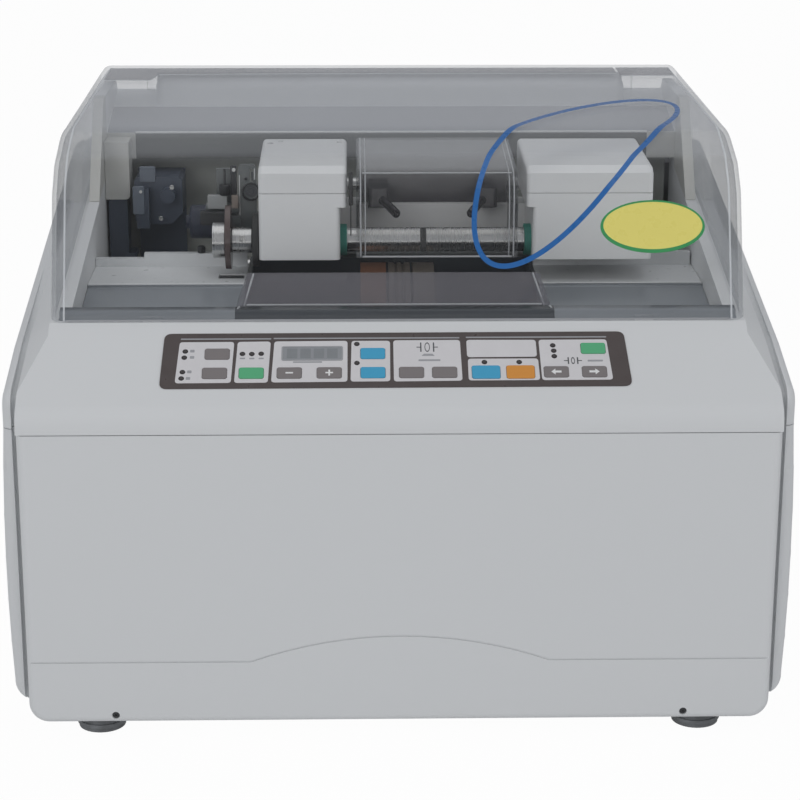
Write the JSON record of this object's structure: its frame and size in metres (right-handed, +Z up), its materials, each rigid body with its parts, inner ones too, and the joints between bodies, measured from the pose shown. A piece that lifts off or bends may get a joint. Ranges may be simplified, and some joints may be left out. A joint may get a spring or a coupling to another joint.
{
  "type": "optical lens edger",
  "caption": "Tabletop lens edger with a clear hinged hood over a sliding, tilting grinding head, and a sloping key console in front.",
  "frame": {"origin": "on the table, in the middle of the casing's footprint", "axes": "+X to the operator's right, +Y from the console towards the back, +Z up"},
  "size_m": [0.546, 0.47, 0.405],
  "materials": {
    "casing_plastic": "light cool grey moulding with a fine texture",
    "panel_dark": "dark brown black panel film",
    "key_dark": "satin dark key",
    "key_green": "satin green key",
    "key_blue": "satin blue key",
    "key_orange": "satin orange key",
    "hood_clear": "clear smoky blue-grey acrylic",
    "guard_clear": "clear acrylic",
    "window_clear": "smoky acrylic",
    "tray_grey": "glossy dark blue-grey",
    "deck_grey": "light grey enamel",
    "chamber_grey": "wet dark grey",
    "frame_grey": "grey enamel",
    "cast_grey": "machined casting",
    "steel": "ground steel",
    "wheel_grit": "brown sintered diamond ring",
    "wheel_fine": "dark sintered ring",
    "rubber_black": "black rubber",
    "feet_rubber": "dark grey ribbed rubber",
    "belt_rubber": "toothed belt",
    "seal_green": "dark green seal",
    "motor_black": "black motor case",
    "motor_blue": "dark blue motor case",
    "part_black": "black moulding",
    "former_blue": "blue-grey pattern plastic",
    "board_green": "circuit board",
    "zinc_sheet": "zinc plated sheet"
  },
  "bodies": {
    "casing": {"base_plate": "zinc_sheet", "feet": "feet_rubber", "lower_casing": "casing_plastic", "upper_casing": "casing_plastic", "rear_panel": "frame_grey", "rear_cover": "casing_plastic", "console_panel": "panel_dark", "drip_tray": "tray_grey", "deck_plates": "deck_grey", "splash_window": "window_clear", "chamber_tub": "chamber_grey", "chassis": "frame_grey", "carriage_rails": "steel", "traverse_drive": "motor_blue", "spindle_housing": "cast_grey", "wheel_motor": "motor_black", "wheel_belt": "belt_rubber", "control_board": "board_green", "power_inlet": "part_black"},
    "hood": {"hood": "hood_clear", "hood_hinge_lugs": "hood_clear"},
    "carriage": {"carriage": "cast_grey"},
    "head": {"head_frame": "cast_grey", "left_cover": "casing_plastic", "left_cap": "casing_plastic", "right_cover": "casing_plastic", "right_cap": "casing_plastic", "lens_guard": "guard_clear", "coolant_nozzles": "part_black", "shaft_seals": "seal_green", "gauge_plate": "part_black", "size_motor": "motor_blue", "sync_belts": "belt_rubber"},
    "left_lens_shaft": {"lens_shaft_left": "steel", "former_disc": "former_blue"},
    "sync_layshaft": {"sync_shaft": "steel"},
    "clamp": {"clamp_yoke": "cast_grey"},
    "right_lens_shaft": {"lens_shaft_right": "steel", "clamp_pad": "rubber_black"},
    "right_lens_pulley": {"lens_pulley_right": "cast_grey"},
    "wheel_set": {"wheel_spindle": "steel", "roughing_wheel": "wheel_grit", "finishing_wheels": "wheel_fine"},
    "motor_wheel": {"motor_pulley": "cast_grey"},
    "pattern_rest": {"former_rest": "part_black"},
    "power_switch": {"switch_rocker": "part_black"},
    "key_mode_button": {"key_mode": "key_dark"},
    "key_shape_button": {"key_shape": "key_dark"},
    "key_set_button": {"key_set": "key_green"},
    "key_minus_button": {"key_minus": "key_dark"},
    "key_plus_button": {"key_plus": "key_dark"},
    "key_test_button": {"key_test": "key_blue"},
    "key_water_button": {"key_water": "key_blue"},
    "key_guide_button": {"key_guide": "key_dark"},
    "key_polish_button": {"key_polish": "key_dark"},
    "key_start_button": {"key_start": "key_blue"},
    "key_stop_button": {"key_stop": "key_orange"},
    "key_chuck_button": {"key_chuck": "key_green"},
    "key_left_button": {"key_left": "key_dark"},
    "key_right_button": {"key_right": "key_dark"}
  },
  "joints": [
    {"name": "hood_hinge", "type": "hinge", "parent": "casing", "child": "hood", "pos_m": [0, 0.197, 0.3937], "axis": [-1, 0, 0], "range_deg": [0, 70]},
    {"name": "carriage_slide", "type": "slide", "parent": "casing", "child": "carriage", "axis": [1, 0, 0], "range_m": [-0.018, 0.018]},
    {"name": "head_hinge", "type": "hinge", "parent": "carriage", "child": "head", "pos_m": [0, 0.08, 0.3], "axis": [-1, 0, 0], "range_deg": [0, 12]},
    {"name": "left_shaft_spin", "type": "hinge", "parent": "head", "child": "left_lens_shaft", "pos_m": [0, -0.03, 0.31], "axis": [1, 0, 0], "continuous": true},
    {"name": "sync_shaft_spin", "type": "hinge", "parent": "head", "child": "sync_layshaft", "pos_m": [0, 0.041, 0.338], "axis": [1, 0, 0], "continuous": true},
    {"name": "right_pulley_spin", "type": "hinge", "parent": "head", "child": "right_lens_pulley", "pos_m": [0, -0.03, 0.31], "axis": [1, 0, 0], "continuous": true},
    {"name": "clamp_slide", "type": "slide", "parent": "head", "child": "clamp", "axis": [1, 0, 0], "range_m": [0, 0.015]},
    {"name": "right_shaft_spin", "type": "hinge", "parent": "clamp", "child": "right_lens_shaft", "pos_m": [0, -0.03, 0.31], "axis": [1, 0, 0], "continuous": true},
    {"name": "spindle_spin", "type": "hinge", "parent": "casing", "child": "wheel_set", "pos_m": [0, -0.03, 0.241], "axis": [1, 0, 0], "continuous": true},
    {"name": "motor_pulley_spin", "type": "hinge", "parent": "casing", "child": "motor_wheel", "pos_m": [0, -0.03, 0.1], "axis": [1, 0, 0], "continuous": true},
    {"name": "former_rest_slide", "type": "slide", "parent": "casing", "child": "pattern_rest", "axis": [0, 0, 1], "range_m": [-0.008, 0]},
    {"name": "power_switch_rock", "type": "hinge", "parent": "casing", "child": "power_switch", "pos_m": [0.184, 0.2305, 0.07], "axis": [1, 0, 0], "range_deg": [-6, 6]},
    {"name": "key_mode_press", "type": "slide", "parent": "casing", "child": "key_mode_button", "axis": [0, 0.563, -0.8265], "range_m": [0, 0.0004], "stiffness_N_per_m": 400},
    {"name": "key_shape_press", "type": "slide", "parent": "casing", "child": "key_shape_button", "axis": [0, 0.563, -0.8265], "range_m": [0, 0.0004], "stiffness_N_per_m": 400},
    {"name": "key_set_press", "type": "slide", "parent": "casing", "child": "key_set_button", "axis": [0, 0.563, -0.8265], "range_m": [0, 0.0004], "stiffness_N_per_m": 400},
    {"name": "key_minus_press", "type": "slide", "parent": "casing", "child": "key_minus_button", "axis": [0, 0.563, -0.8265], "range_m": [0, 0.0004], "stiffness_N_per_m": 400},
    {"name": "key_plus_press", "type": "slide", "parent": "casing", "child": "key_plus_button", "axis": [0, 0.563, -0.8265], "range_m": [0, 0.0004], "stiffness_N_per_m": 400},
    {"name": "key_test_press", "type": "slide", "parent": "casing", "child": "key_test_button", "axis": [0, 0.563, -0.8265], "range_m": [0, 0.0004], "stiffness_N_per_m": 400},
    {"name": "key_water_press", "type": "slide", "parent": "casing", "child": "key_water_button", "axis": [0, 0.563, -0.8265], "range_m": [0, 0.0004], "stiffness_N_per_m": 400},
    {"name": "key_guide_press", "type": "slide", "parent": "casing", "child": "key_guide_button", "axis": [0, 0.563, -0.8265], "range_m": [0, 0.0004], "stiffness_N_per_m": 400},
    {"name": "key_polish_press", "type": "slide", "parent": "casing", "child": "key_polish_button", "axis": [0, 0.563, -0.8265], "range_m": [0, 0.0004], "stiffness_N_per_m": 400},
    {"name": "key_start_press", "type": "slide", "parent": "casing", "child": "key_start_button", "axis": [0, 0.563, -0.8265], "range_m": [0, 0.0004], "stiffness_N_per_m": 400},
    {"name": "key_stop_press", "type": "slide", "parent": "casing", "child": "key_stop_button", "axis": [0, 0.563, -0.8265], "range_m": [0, 0.0004], "stiffness_N_per_m": 400},
    {"name": "key_chuck_press", "type": "slide", "parent": "casing", "child": "key_chuck_button", "axis": [0, 0.563, -0.8265], "range_m": [0, 0.0004], "stiffness_N_per_m": 400},
    {"name": "key_left_press", "type": "slide", "parent": "casing", "child": "key_left_button", "axis": [0, 0.563, -0.8265], "range_m": [0, 0.0004], "stiffness_N_per_m": 400},
    {"name": "key_right_press", "type": "slide", "parent": "casing", "child": "key_right_button", "axis": [0, 0.563, -0.8265], "range_m": [0, 0.0004], "stiffness_N_per_m": 400}
  ],
  "couplings": [
    {"joint": "sync_shaft_spin", "follows": "left_shaft_spin", "ratio": 1},
    {"joint": "right_pulley_spin", "follows": "left_shaft_spin", "ratio": 1},
    {"joint": "right_shaft_spin", "follows": "left_shaft_spin", "ratio": 1},
    {"joint": "motor_pulley_spin", "follows": "spindle_spin", "ratio": 0.66667}
  ]
}
